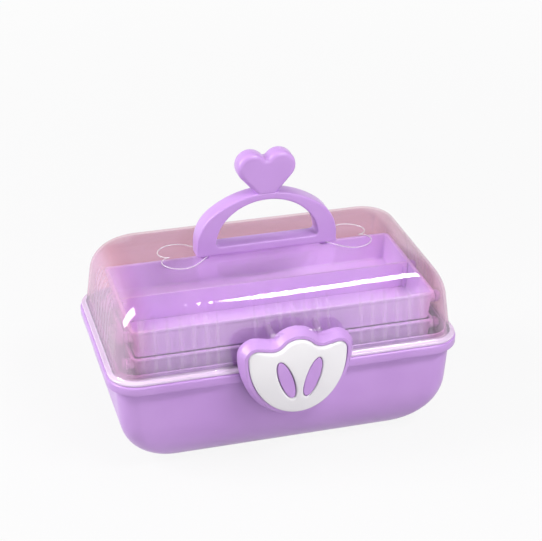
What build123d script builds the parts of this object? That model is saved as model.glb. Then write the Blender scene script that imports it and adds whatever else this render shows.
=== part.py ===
"""Multi-layer storage box: tub, clear domed lid with a carrying handle, front clasp and two lifting trays.

Millimetres. +X runs along the box, the front faces -Y and +Z is up.
The origin is the middle of the resting face.
"""

import math
import os

from build123d import *

os.makedirs("parts", exist_ok=True)

# Tub: size over the rim, then the wall, the curved foot and the lip that locates the lid
box_length = 270.0
box_depth = 156.0
rim_top = 82.0
rim_band = 7.0
rim_overhang = 5.3
rim_skin = 2.2
rim_corner = 24.0
rim_edge_round = 1.2
tub_wall = 2.2
tub_floor = 2.6
tub_corner = 15.5
tub_draft_end = 5.5
tub_draft_side = 1.5
foot_bend_end = 44.5
foot_bend_side = 33.0
foot_bend_height = 46.0
lip_height = 6.0
lip_wall = 1.5
lip_clearance = 0.4

# Lid: dome over the rim, with a flange that sits on the rim
lid_height = 62.0
lid_inset = 4.8
lid_wall = 1.8
lid_draft_end = 7.4
lid_draft_side = 6.1
lid_corner = 18.0
shoulder_end = 25.7
shoulder_side = 23.9
shoulder_height = 29.4
flange_thickness = 2.5
flange_inset = 1.2

# Lid hinge: two pins behind the rim, on the parting plane
hinge_spacing = 140.0
hinge_setback = 5.0
knuckle_radius = 4.0
lid_knuckle_length = 16.0
tub_knuckle_length = 8.0
knuckle_gap = 0.4
hinge_pin_radius = 1.6
web_clearance = 0.3

# Running clearance of every pivot, on the radius
pivot_clearance = 0.06

# Handle: arched grip with a straight bottom bar and a heart on top
handle_width = 108.5
handle_rise = 46.4
handle_thickness = 15.0
handle_straight = 7.3
handle_shoulder_share = 0.808
handle_bar = 6.8
grip_half_width = 39.6
grip_rise = 34.2
handle_edge_round = 1.2
heart_lobe_radius = 11.4
heart_lobe_spread = 21.6
heart_top = 77.6
heart_tip = 36.8
heart_thickness = 15.0
heart_edge_round = 2.0
heart_cleft_round = 2.4
screw_inset = 7.75
screw_radius = 1.6
screw_length = 14.0
screw_head_radius = 3.4
screw_head_height = 2.0

# Clasp: three-lobed shell that hangs from two ears of the lid
clasp_width = 86.4
clasp_drop = 35.7
clasp_rise = 35.6
clasp_waist_rise = 17.1
clasp_side_lobe = 12.5
clasp_middle_lobe = 21.0
clasp_lobe_slope = 11.6
clasp_dip_round = 5.0
clasp_stand_off = 2.0
clasp_depth = 10.5
clasp_wall = 2.2
clasp_edge_round = 3.2
clasp_knuckle_height = 9.0
clasp_pivot_drop = 3.4
clasp_pivot_depth = 4.0
clasp_pin_radius = 1.2
ear_spacing = 34.8
ear_thickness = 3.0
ear_radius = 2.6
plate_border = 6.0
plate_seam = 0.2
plate_seat = 1.4
plate_rim = 0.93
plate_dome_radius = 139.0
plate_edge_round = 1.0
oval_length = 32.8
oval_width = 11.0
oval_spacing = 19.8
oval_rise = 34.9
oval_tilt = 18.5
oval_recess = 1.6
oval_edge_round = 0.8
tongue_width = 30.0
tongue_thickness = 3.0
tongue_bite = 2.5
tongue_gap = 0.4
tongue_root_height = 12.0

# Trays: two alike, one above the other, with more room behind them than in front
tray_end_room = 14.7
tray_front_room = 13.2
tray_rear_room = 26.2
tray_height = 22.2
tray_pitch = 22.7
tray_drop = 8.9
tray_wall = 1.6
tray_draft = 2.0
tray_corner = 3.5
tray_bead = 1.2
tray_bead_height = 2.4
divider_thickness = 1.8
divider_clearance = 0.2
guide_width = 2.0
guide_reach = 2.2

# Arms: flat links between the tub, the lower tray and the upper tray, at both ends
arm_reach_share = 20 / 53
arm_spacing_share = 26 / 53
arm_width = 9.0
arm_thickness = 2.5
arm_gap = 0.2
arm_stand_off = 1.6
front_pivot_inset = 7.0
pivot_below_lip = 7.0
boss_radius = 4.2
arm_pin_radius = 1.6
arm_pin_depth = 4.2
arm_pin_head_radius = 3.2
arm_pin_head_height = 1.5

# Counts and the small overrun of every through cut
bend_steps = 6
overrun = 1.0

# Places that several pieces share
lid_top = rim_top + lid_height
lid_length = box_length - 2 * lid_inset
lid_depth = box_depth - 2 * lid_inset
tub_length = box_length - 2 * rim_overhang
tub_depth = box_depth - 2 * rim_overhang
lip_set_in = lid_inset + lid_wall + lip_clearance + lid_draft_end * lip_height / lid_height
hinge_y = box_depth / 2 + hinge_setback
hinge_places = (-hinge_spacing / 2, hinge_spacing / 2)
shoulder_rise = handle_rise - handle_straight
handle_side_radius = shoulder_rise * handle_shoulder_share
handle_side_x = handle_width / 2 - handle_side_radius
crown_squares = handle_side_x**2 + shoulder_rise**2 - handle_side_radius**2
handle_crown_radius = crown_squares / (2 * (shoulder_rise - handle_side_radius))
screw_spacing = handle_width - 2 * screw_inset
clasp_bottom = rim_top - clasp_drop
clasp_top = rim_top + clasp_rise
clasp_waist = rim_top + clasp_waist_rise
clasp_back = box_depth / 2 + clasp_stand_off
clasp_front = clasp_back + clasp_depth
clasp_pivot_y = -(clasp_back + clasp_pivot_depth)
clasp_pivot_z = clasp_top - clasp_pivot_drop
clasp_web = clasp_front - plate_seat - clasp_wall
plate_reach = clasp_width / 2 - plate_border
plate_proud = plate_rim + plate_dome_radius - math.sqrt(plate_dome_radius**2 - plate_reach**2)
tray_length = tub_length - 2 * tray_end_room
tray_depth = tub_depth - tray_front_room - tray_rear_room
tray_setting = (tray_front_room - tray_rear_room) / 2
lower_tray_floor_level = rim_top - tray_drop
upper_tray_floor_level = lower_tray_floor_level + tray_pitch
arm_reach = tray_depth * arm_reach_share
arm_spacing = tray_depth * arm_spacing_share
front_pivot_y = tray_setting - tray_depth / 2 + front_pivot_inset
tray_pivot_height = tray_height - pivot_below_lip
tub_pivot_z = lower_tray_floor_level + tray_pivot_height - tray_pitch
arm_length = math.hypot(arm_reach, tray_pitch)
arm_slope = math.degrees(math.atan2(tray_pitch, -arm_reach))
arm_inner_face = tray_length / 2 + tray_bead + arm_stand_off
arm_outer_face = arm_inner_face + arm_thickness
arm_bore = arm_pin_radius + pivot_clearance
sides = (-1, 1)


def bowl(floor, mouth, height, corner, draft, bend, bend_height):
    """Solid with a flat floor on the given plane, a curved bend round it and a drafted wall above."""

    def section(level, turn):
        """Length and depth at a level, where turn is how far the bend has turned upright."""
        curl, lean = 1 - math.sin(turn), 1 - level / height
        return [mouth[axis] - 2 * (bend[axis] * curl + draft[axis] * lean) for axis in (0, 1)]

    upright = math.pi / 2
    with BuildPart() as solid:
        for step in range(bend_steps + 1):
            turn = upright * step / bend_steps
            level = bend_height * (1 - math.cos(turn))
            with BuildSketch(floor.offset(level)):
                RectangleRounded(*section(level, turn), corner)
        loft()
        for level in (bend_height, height):
            with BuildSketch(floor.offset(level)):
                RectangleRounded(*section(level, upright), corner)
        loft(ruled=True)
    return solid.part


def cross_rod(radius, start, end, y, z, mode=Mode.ADD):
    """Round rod along X between two stations, in the part that is being built."""
    with Locations(((start + end) / 2, y, z)):
        Cylinder(radius, abs(end - start), rotation=(0, 90, 0), mode=mode)


# Tub
tub_shell = bowl(
    Plane.XY,
    (tub_length, tub_depth),
    rim_top,
    tub_corner,
    (tub_draft_end, tub_draft_side),
    (foot_bend_end, foot_bend_side),
    foot_bend_height,
)
tub_hollow = bowl(
    Plane.XY.offset(tub_floor),
    (tub_length - 2 * tub_wall, tub_depth - 2 * tub_wall),
    rim_top - rim_skin - tub_floor,
    tub_corner - tub_wall,
    (tub_draft_end, tub_draft_side),
    (foot_bend_end - tub_wall, foot_bend_side - tub_wall),
    foot_bend_height - tub_floor,
)
tub_pivot_y = front_pivot_y + arm_reach
tub_pivots = [(tub_pivot_y, tub_pivot_z), (tub_pivot_y + arm_spacing, tub_pivot_z)]

with BuildPart() as tub:
    add(tub_shell)
    with BuildSketch(Plane.XY.offset(rim_top - rim_band)):
        RectangleRounded(box_length, box_depth, rim_corner)
    rim = extrude(amount=rim_band)
    fillet(rim.edges().group_by(Axis.Z)[-1], rim_edge_round)
    with BuildSketch(Plane.XY.offset(rim_top - rim_band)):
        RectangleRounded(box_length - 2 * rim_skin, box_depth - 2 * rim_skin, rim_corner - rim_skin)
        RectangleRounded(tub_length, tub_depth, tub_corner, mode=Mode.SUBTRACT)
    extrude(amount=rim_band - rim_skin, mode=Mode.SUBTRACT)
    with BuildSketch(Plane.XY.offset(rim_top)):
        RectangleRounded(box_length - 2 * lip_set_in, box_depth - 2 * lip_set_in, tub_corner)
    extrude(amount=lip_height)
    add(tub_hollow, mode=Mode.SUBTRACT)
    lip_inside = lip_set_in + lip_wall
    with BuildSketch(Plane.XY.offset(rim_top - rim_skin)):
        RectangleRounded(box_length - 2 * lip_inside, box_depth - 2 * lip_inside, tub_corner - lip_wall)
    extrude(amount=rim_skin + lip_height, mode=Mode.SUBTRACT)
    boss_face, boss_root = arm_outer_face + arm_gap, tub_length / 2 - tub_wall
    for side in sides:
        for pivot in tub_pivots:
            cross_rod(boss_radius, side * boss_face, side * boss_root, *pivot)
    for place in hinge_places:
        for side in sides:
            offset_x = lid_knuckle_length / 2 + knuckle_gap + tub_knuckle_length / 2
            with BuildSketch(Plane.YZ.offset(place + side * offset_x)):
                with Locations((hinge_y, rim_top)):
                    Circle(knuckle_radius)
                with Locations((hinge_y - hinge_setback / 2 - rim_skin / 2, rim_top - web_clearance)):
                    Rectangle(hinge_setback + rim_skin, knuckle_radius, align=(Align.CENTER, Align.MAX))
                with Locations((hinge_y, rim_top)):
                    Circle(hinge_pin_radius, mode=Mode.SUBTRACT)
            extrude(amount=tub_knuckle_length / 2, both=True)
    for side in sides:
        for pivot in tub_pivots:
            bore_end = side * (boss_face + arm_pin_depth)
            cross_rod(arm_pin_radius, side * boss_face, bore_end, *pivot, Mode.SUBTRACT)
tub.part.label = "tub"
export_step(tub.part, "parts/tub.step")

# Lid
lid_crown = Plane(origin=(0, 0, lid_top), x_dir=(1, 0, 0), z_dir=(0, 0, -1))
lid_dome = bowl(
    lid_crown,
    (lid_length, lid_depth),
    lid_height,
    lid_corner,
    (lid_draft_end, lid_draft_side),
    (shoulder_end, shoulder_side),
    shoulder_height,
)
lid_hollow = bowl(
    lid_crown.offset(lid_wall),
    (lid_length - 2 * lid_wall, lid_depth - 2 * lid_wall),
    lid_height - lid_wall,
    lid_corner - lid_wall,
    (lid_draft_end, lid_draft_side),
    (shoulder_end - lid_wall, shoulder_side - lid_wall),
    shoulder_height - lid_wall,
)
ear_top = clasp_pivot_z + ear_radius
ear_root = lid_depth / 2 - lid_draft_side * (ear_top - rim_top) / lid_height - lid_wall / 2

with BuildPart() as lid:
    add(lid_dome)
    with BuildSketch(Plane.XY.offset(rim_top)):
        flange_grow = lid_inset - flange_inset
        RectangleRounded(lid_length + 2 * flange_grow, lid_depth + 2 * flange_grow, lid_corner + flange_grow)
    extrude(amount=flange_thickness)
    add(lid_hollow, mode=Mode.SUBTRACT)
    for side in sides:
        with BuildSketch(Plane.YZ.offset(side * ear_spacing / 2)):
            with Locations((clasp_pivot_y, clasp_pivot_z)):
                Circle(ear_radius)
                Rectangle(-ear_root - clasp_pivot_y, 2 * ear_radius, align=(Align.MIN, Align.CENTER))
                Circle(clasp_pin_radius + pivot_clearance, mode=Mode.SUBTRACT)
        extrude(amount=ear_thickness / 2, both=True)
    for place in hinge_places:
        with BuildSketch(Plane.YZ.offset(place)):
            with Locations((hinge_y, rim_top)):
                Circle(knuckle_radius)
            with Locations((hinge_y, rim_top + flange_thickness)):
                web_depth = hinge_setback + lid_inset
                Rectangle(web_depth, flange_thickness - web_clearance, align=(Align.MAX, Align.MAX))
            with Locations((hinge_y, rim_top)):
                Circle(hinge_pin_radius + pivot_clearance, mode=Mode.SUBTRACT)
        extrude(amount=lid_knuckle_length / 2, both=True)
    with Locations(*[(side * screw_spacing / 2, 0, lid_top) for side in sides]):
        Cylinder(screw_radius, 2 * (lid_wall + overrun), mode=Mode.SUBTRACT)
lid.part.label = "lid"
export_step(lid.part, "parts/lid.step")

# Hinge pins
with BuildPart() as lid_hinge_pins:
    pin_half = lid_knuckle_length / 2 + knuckle_gap + tub_knuckle_length
    for place in hinge_places:
        cross_rod(hinge_pin_radius, place - pin_half, place + pin_half, hinge_y, rim_top)
lid_hinge_pins.part.label = "lid_hinge_pins"
export_step(lid_hinge_pins.part, "parts/lid_hinge_pins.step")

# Handle
handle_plane = Plane.XZ.shift_origin((0, 0, lid_top))
lobe_center_z = heart_top - heart_lobe_radius
tip_to_lobe = math.hypot(heart_lobe_spread / 2, lobe_center_z - heart_tip)
lobe_angle = math.atan2(lobe_center_z - heart_tip, heart_lobe_spread / 2)
flank_angle = lobe_angle - math.asin(heart_lobe_radius / tip_to_lobe)
flank_length = math.sqrt(tip_to_lobe**2 - heart_lobe_radius**2)
flank_x = flank_length * math.cos(flank_angle)
flank_z = heart_tip + flank_length * math.sin(flank_angle)

with BuildPart() as handle_arch:
    with BuildSketch(handle_plane):
        Rectangle(handle_width, handle_rise, align=(Align.CENTER, Align.MIN))
        with Locations((0, handle_rise - handle_crown_radius)):
            Circle(handle_crown_radius, mode=Mode.INTERSECT)
        fillet(vertices().group_by(Axis.Y)[-1], handle_side_radius)
        with BuildSketch(mode=Mode.SUBTRACT):
            with Locations((0, handle_bar)):
                Ellipse(grip_half_width, grip_rise)
                Rectangle(handle_width, 2 * grip_rise, align=(Align.CENTER, Align.MAX), mode=Mode.SUBTRACT)
    extrude(amount=handle_thickness / 2, both=True)
    front_and_back = faces().filter_by(Axis.Y).edges()
    fillet(front_and_back.filter_by(lambda edge: edge.center().Z > lid_top), handle_edge_round)

with BuildPart() as heart:
    with BuildSketch(handle_plane):
        Polygon((flank_x, flank_z), (0, lobe_center_z), (-flank_x, flank_z), (0, heart_tip), align=None)
        with Locations(*[(side * heart_lobe_spread / 2, lobe_center_z) for side in sides]):
            Circle(heart_lobe_radius)
        cleft = vertices().sort_by(Axis.Y)[-1]
        fillet(cleft, heart_cleft_round)
    extrude(amount=heart_thickness / 2, both=True)
    fillet(faces().filter_by(Axis.Y).edges(), heart_edge_round)
    with BuildSketch(handle_plane):
        crown_middle = (handle_rise + handle_bar + grip_rise) / 2
        with Locations((0, crown_middle)):
            Rectangle(handle_width, handle_rise, align=(Align.CENTER, Align.MAX))
    extrude(amount=heart_thickness / 2, both=True, mode=Mode.SUBTRACT)

with BuildPart() as handle:
    add(handle_arch.part)
    add(heart.part)
    with Locations(*[(side * screw_spacing / 2, 0, lid_top) for side in sides]):
        Cylinder(screw_radius, 2 * (screw_length - lid_wall), mode=Mode.SUBTRACT)
handle.part.label = "handle"
export_step(handle.part, "parts/handle.step")

with BuildPart() as handle_screws:
    under_lid = lid_top - lid_wall
    for side in sides:
        with Locations((side * screw_spacing / 2, 0, under_lid)):
            Cylinder(screw_radius, screw_length, align=(Align.CENTER, Align.CENTER, Align.MIN))
            Cylinder(screw_head_radius, screw_head_height, align=(Align.CENTER, Align.CENTER, Align.MAX))
handle_screws.part.label = "handle_screws"
export_step(handle_screws.part, "parts/handle_screws.step")

# Clasp
def clasp_outline(inset):
    """Outline drawn in by an inset: half an ellipse, a lobe at each side and a higher one between them."""
    lobe_x = clasp_width / 2 - clasp_side_lobe
    side_lobe = clasp_side_lobe - inset
    slope = math.radians(clasp_lobe_slope)
    leave_x = lobe_x - side_lobe * math.sin(slope)
    leave_z = clasp_waist + side_lobe * math.cos(slope)
    middle_z = leave_z - leave_x * math.tan(slope)
    foot = [(side * lobe_x, clasp_waist) for side in sides]
    with BuildSketch() as outline:
        with Locations((0, clasp_waist)):
            Ellipse(clasp_width / 2 - inset, clasp_waist - clasp_bottom - inset)
            Rectangle(clasp_width, clasp_width, align=(Align.CENTER, Align.MIN), mode=Mode.SUBTRACT)
        with Locations(*foot):
            Circle(side_lobe)
        Polygon(*foot, (leave_x, leave_z), (0, middle_z), (-leave_x, leave_z), align=None)
        with Locations((0, clasp_top - clasp_middle_lobe)):
            Circle(clasp_middle_lobe - inset)
        upper = [corner for corner in vertices() if corner.Y > clasp_waist + overrun]
        dips = [corner for corner in upper if abs(corner.X) < lobe_x - clasp_side_lobe]
        fillet(dips, clasp_dip_round + inset)
    return outline.sketch


def clasp_ovals(grow):
    """The two slanted ovals, which lean apart at the top."""
    with BuildSketch() as ovals:
        for side in sides:
            with Locations((side * oval_spacing / 2, clasp_bottom + oval_rise)):
                Ellipse(oval_width / 2 + grow, oval_length / 2 + grow, rotation=-side * oval_tilt)
    return ovals.sketch


plate_floor = Plane.XZ.offset(clasp_front - plate_seat)

with BuildPart() as clasp_body:
    with BuildSketch(Plane.XZ.offset(clasp_back)):
        add(clasp_outline(0))
    extrude(amount=clasp_depth)
    fillet(faces().sort_by(Axis.Y)[0].edges(), clasp_edge_round)
    with BuildSketch(plate_floor):
        add(clasp_outline(plate_border - plate_seam))
    extrude(amount=plate_seat, mode=Mode.SUBTRACT)
    with BuildSketch(Plane.XZ.offset(clasp_back)):
        add(clasp_outline(clasp_wall))
        with Locations((0, clasp_top - clasp_knuckle_height)):
            Rectangle(clasp_width, clasp_top, align=(Align.CENTER, Align.MIN), mode=Mode.SUBTRACT)
    extrude(amount=clasp_web - clasp_back, mode=Mode.SUBTRACT)
    with BuildSketch(plate_floor):
        add(clasp_ovals(0))
    extrude(amount=plate_seat + plate_proud - oval_recess)
    fillet(faces().sort_by(Axis.Y)[:2].edges(), oval_edge_round)
    cross_rod(clasp_pin_radius, -clasp_width / 2, clasp_width / 2, clasp_pivot_y, clasp_pivot_z, Mode.SUBTRACT)
clasp_body.part.label = "clasp_body"
export_step(clasp_body.part, "parts/clasp_body.step")

with BuildPart() as clasp_face_plate:
    with BuildSketch(plate_floor):
        add(clasp_outline(plate_border))
        add(clasp_ovals(plate_seam), mode=Mode.SUBTRACT)
    extrude(amount=plate_seat + plate_proud)
    with Locations((0, plate_dome_radius - clasp_front - plate_proud, clasp_bottom + oval_rise)):
        Sphere(plate_dome_radius, mode=Mode.INTERSECT)
    outer_edges = faces().sort_by(Axis.Y)[0].outer_wire().edges()
    fillet(outer_edges, plate_edge_round)
clasp_face_plate.part.label = "clasp_face_plate"
export_step(clasp_face_plate.part, "parts/clasp_face_plate.step")

with BuildPart() as clasp_tongue:
    tongue_top = rim_top - rim_band - tongue_gap
    with BuildSketch(Plane.YZ):
        with Locations((-clasp_web, tongue_top)):
            Rectangle(clasp_web - box_depth / 2 + tongue_bite, tongue_thickness, align=(Align.MIN, Align.MAX))
        with Locations((-clasp_web, tongue_top - tongue_thickness / 2)):
            Rectangle(tongue_thickness, tongue_root_height, align=(Align.MIN, Align.CENTER))
    extrude(amount=tongue_width / 2, both=True)
clasp_tongue.part.label = "clasp_tongue"
export_step(clasp_tongue.part, "parts/clasp_tongue.step")

with BuildPart() as clasp_pin:
    pin_end = (ear_spacing + ear_thickness) / 2
    cross_rod(clasp_pin_radius, -pin_end, pin_end, clasp_pivot_y, clasp_pivot_z)
clasp_pin.part.label = "clasp_pin"
export_step(clasp_pin.part, "parts/clasp_pin.step")


# Trays
def tray_shell(floor_level):
    """Open tray with drafted walls and a bead round the mouth."""
    floor = Plane((0, tray_setting, floor_level))

    def drafted(level):
        """How far the outside draws in at a level above the floor."""
        return tray_draft * (1 - level / tray_height)

    with BuildPart() as shell:
        for level in (0, tray_height):
            with BuildSketch(floor.offset(level)):
                RectangleRounded(tray_length - 2 * drafted(level), tray_depth - 2 * drafted(level), tray_corner)
        loft(ruled=True)
        with BuildSketch(floor.offset(tray_height - tray_bead_height)):
            RectangleRounded(tray_length + 2 * tray_bead, tray_depth + 2 * tray_bead, tray_corner + tray_bead)
        extrude(amount=tray_bead_height)
        for level in (tray_wall, tray_height):
            inset = 2 * (drafted(level) + tray_wall)
            with BuildSketch(floor.offset(level)):
                RectangleRounded(tray_length - inset, tray_depth - inset, tray_corner - tray_wall)
        loft(ruled=True, mode=Mode.SUBTRACT)
    return shell.part


tray_half_at_pivot = tray_length / 2 - tray_draft * (1 - tray_pivot_height / tray_height)
tray_boss_face = arm_inner_face - arm_gap
row_places = {"front": front_pivot_y, "rear": front_pivot_y + arm_spacing}


def tray_bosses(pivots):
    """Bosses on both tray ends, with a blind hole for each pin, in the part that is being built."""
    for side in sides:
        for pivot in pivots:
            cross_rod(boss_radius, side * (tray_half_at_pivot - tray_wall / 2), side * tray_boss_face, *pivot)
            hole_end = tray_boss_face - arm_pin_depth
            cross_rod(arm_pin_radius, side * hole_end, side * tray_boss_face, *pivot, Mode.SUBTRACT)


lower_pivot_z = lower_tray_floor_level + tray_pivot_height
upper_pivot_z = upper_tray_floor_level + tray_pivot_height
lower_tray_pivots = [(y, lower_pivot_z) for y in row_places.values()]
lower_link_pivots = [(y + arm_reach, lower_pivot_z) for y in row_places.values()]
upper_tray_pivots = [(y, upper_pivot_z) for y in row_places.values()]

with BuildPart() as lower_tray:
    add(tray_shell(lower_tray_floor_level))
    tray_bosses(lower_tray_pivots + lower_link_pivots)
lower_tray.part.label = "lower_tray"
export_step(lower_tray.part, "parts/lower_tray.step")

guide_top = upper_tray_floor_level + tray_height - tray_bead_height
guide_foot = upper_tray_floor_level + tray_wall
wall_inside_foot = tray_length / 2 - tray_draft - tray_wall
wall_inside_top = tray_length / 2 - tray_wall
divider_plane = Plane.XZ.offset(-tray_setting)

with BuildPart() as upper_tray:
    add(tray_shell(upper_tray_floor_level))
    tray_bosses(upper_tray_pivots)
    for side in sides:
        for flank in sides:
            stand = divider_thickness / 2 + divider_clearance + guide_width / 2
            with BuildSketch(divider_plane.offset(flank * stand)):
                Polygon(
                    (side * (wall_inside_foot - guide_reach), guide_foot),
                    (side * (wall_inside_foot + tray_wall / 2), guide_foot),
                    (side * (wall_inside_top + tray_wall / 2), guide_top),
                    (side * (wall_inside_top - guide_reach), guide_top),
                    align=None,
                )
            extrude(amount=guide_width / 2, both=True)
upper_tray.part.label = "upper_tray"
export_step(upper_tray.part, "parts/upper_tray.step")

with BuildPart() as upper_tray_divider:
    with BuildSketch(divider_plane):
        divider_foot = wall_inside_foot - divider_clearance
        divider_head = wall_inside_top - divider_clearance
        divider_top = upper_tray_floor_level + tray_height
        Polygon(
            (-divider_foot, guide_foot),
            (divider_foot, guide_foot),
            (divider_head, divider_top),
            (-divider_head, divider_top),
            align=None,
        )
    extrude(amount=divider_thickness / 2, both=True)
upper_tray_divider.part.label = "upper_tray_divider"
export_step(upper_tray_divider.part, "parts/upper_tray_divider.step")

# Arms
for level, foot_z in (("lower", tub_pivot_z), ("upper", lower_pivot_z)):
    for row, head_y in row_places.items():
        for side_name, side in (("left", -1), ("right", 1)):
            foot = (head_y + arm_reach, foot_z)
            head = (head_y, foot_z + tray_pitch)
            with BuildPart() as arm:
                with BuildSketch(Plane.YZ.offset(side * (arm_inner_face + arm_outer_face) / 2)):
                    with Locations(((foot[0] + head[0]) / 2, (foot[1] + head[1]) / 2)):
                        SlotCenterToCenter(arm_length, arm_width, rotation=arm_slope)
                    with Locations(foot, head):
                        Circle(arm_bore, mode=Mode.SUBTRACT)
                extrude(amount=arm_thickness / 2, both=True)
            arm.part.label = f"{level}_{row}_arm_{side_name}"
            export_step(arm.part, f"parts/{arm.part.label}.step")


# Arm pins
def pivot_pins(pivots, head, tip):
    """Headed pins at both ends of the box, where head and tip are stations along X."""
    head_end = head + math.copysign(arm_pin_head_height, head - tip)
    with BuildPart() as pins:
        for side in sides:
            for pivot in pivots:
                cross_rod(arm_pin_radius, side * head, side * tip, *pivot)
                cross_rod(arm_pin_head_radius, side * head, side * head_end, *pivot)
    return pins.part


tray_pin_stations = (arm_outer_face + arm_gap, tray_boss_face - arm_pin_depth)
tub_pin_stations = (arm_inner_face - arm_gap, arm_outer_face + arm_gap + arm_pin_depth)
for name, pivots, stations in (
    ("tub_arm_pins", tub_pivots, tub_pin_stations),
    ("lower_tray_pins", lower_tray_pivots, tray_pin_stations),
    ("lower_tray_link_pins", lower_link_pivots, tray_pin_stations),
    ("upper_tray_pins", upper_tray_pivots, tray_pin_stations),
):
    pins = pivot_pins(pivots, *stations)
    pins.label = name
    export_step(pins, f"parts/{name}.step")
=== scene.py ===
"""Looks of the multi-layer storage box, built round its CAD frame. Sizes are in millimetres unless said."""

import logging
from dataclasses import dataclass, field
from enum import Enum
from functools import partial
from math import acos, asin, atan2, cos, hypot, pi, radians, sin, sqrt, tan
from typing import Any, Callable, Optional, Sequence, Union

import bpy
import numpy as np
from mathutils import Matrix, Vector
from mathutils.geometry import delaunay_2d_cdt


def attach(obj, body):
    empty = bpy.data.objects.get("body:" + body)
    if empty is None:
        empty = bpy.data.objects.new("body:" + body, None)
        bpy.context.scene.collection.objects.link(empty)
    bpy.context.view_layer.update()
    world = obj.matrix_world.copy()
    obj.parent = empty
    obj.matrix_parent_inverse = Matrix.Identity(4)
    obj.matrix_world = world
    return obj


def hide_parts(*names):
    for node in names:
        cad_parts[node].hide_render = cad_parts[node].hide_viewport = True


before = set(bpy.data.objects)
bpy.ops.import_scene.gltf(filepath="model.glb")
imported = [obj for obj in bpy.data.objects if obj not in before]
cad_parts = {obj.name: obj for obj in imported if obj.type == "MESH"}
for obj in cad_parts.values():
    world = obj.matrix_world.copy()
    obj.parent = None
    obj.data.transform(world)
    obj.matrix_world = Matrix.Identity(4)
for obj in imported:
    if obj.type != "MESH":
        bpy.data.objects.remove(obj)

LOG = logging.getLogger("storage_box")
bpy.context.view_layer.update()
MM = 0.001
SIDES = (-1, 1)
QUARTER, WHOLE = pi / 2, 2 * pi
WHITE = "#ffffff"
TINY = 1e-9

Pair = tuple[float, float]
Triple = tuple[float, float, float]
Points = np.ndarray
Depth = Callable[[Points, Points], Any]
Node = bpy.types.Node
Sockets = bpy.types.NodeOutputs
Source = Union[Node, bpy.types.NodeSocket]
Adder = Callable[..., Node]


class Body(Enum):
    """CAD bodies that the modelled pieces ride on."""

    BASE = "base"
    LID = "lid"
    CLASP = "clasp"
    LOWER_TRAY = "lower_tray"
    UPPER_TRAY = "upper_tray"


class Slot(Enum):
    """Material slots of the modelled pieces."""

    LILAC = "lilac_plastic"
    CLEAR = "clear_plastic"
    WHITE = "white_plastic"


def linear(code: str) -> tuple[float, ...]:
    """Turns an sRGB colour, written #rrggbb, to linear red, green and blue and an alpha of one."""
    shares = (int(code[i : i + 2], 16) / 255 for i in (1, 3, 5))
    return (*(s / 12.92 if s <= 0.04045 else ((s + 0.055) / 1.055) ** 2.4 for s in shares), 1.0)


def per_metre(size_mm: float) -> float:
    """Gives the texture scale whose features are about size_mm across."""
    return 1 / (size_mm * MM)


def ramp(value: Source, ends: Pair, most: float = 1.0, unit: float = MM) -> dict[str, Any]:
    """Settings of a smooth ramp from nought to most between two places, or two slopes with a unit of one."""
    span = {"From Min": ends[0] * unit, "From Max": ends[1] * unit, "To Max": most}
    return {"interpolation_type": "SMOOTHSTEP", "Value": value, **span}


def add_node(tree: bpy.types.NodeTree, kind: str, settings: Optional[dict[Any, Any]] = None) -> Node:
    """Adds a shader node, sets it and links it.

    Args:
        tree: node tree that takes the node.
        kind: name of the node type, without its leading ShaderNode.
        settings: properties by name, and inputs by name or number. An input takes a value or is fed by a
            socket, or by a node from its first output.

    Returns:
        The new node.
    """
    node = tree.nodes.new(f"ShaderNode{kind}")
    for key, value in (settings or {}).items():
        source = value.outputs[0] if isinstance(value, Node) else value
        if isinstance(source, bpy.types.NodeSocket):
            tree.links.new(source, node.inputs[key])
        elif isinstance(key, int) or key in node.inputs:
            node.inputs[key].default_value = value
        else:
            setattr(node, key, value)
    return node


def plain_rays(node: Adder) -> Source:
    """Share of rays that see the plain white surround: those of the camera, of gloss and of clear walls.

    Args:
        node: adds a node to the tree.

    Returns:
        Node that gives one for such rays.
    """
    rays = node("LightPath").outputs
    seen: Source = rays["Is Camera Ray"]
    for kind in ("Is Glossy Ray", "Is Transmission Ray"):
        seen = node("Math", {"operation": "MAXIMUM", 0: seen, 1: rays[kind]})
    return seen


@dataclass(frozen=True)
class Finish:
    """A material whose surface is wired from nodes."""

    name: str

    def surface(self, node: Adder) -> Node:
        """Wires the surface, which each kind of finish does in its own way."""
        raise NotImplementedError

    def make(self) -> bpy.types.Material:
        """Builds the node material.

        Returns:
            The finished material.
        """
        material = bpy.data.materials.new(self.name)
        material.use_nodes = True
        tree = material.node_tree
        tree.nodes.clear()
        node = partial(add_node, tree)
        node("OutputMaterial", {"Surface": self.surface(node)})
        return material


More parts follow.
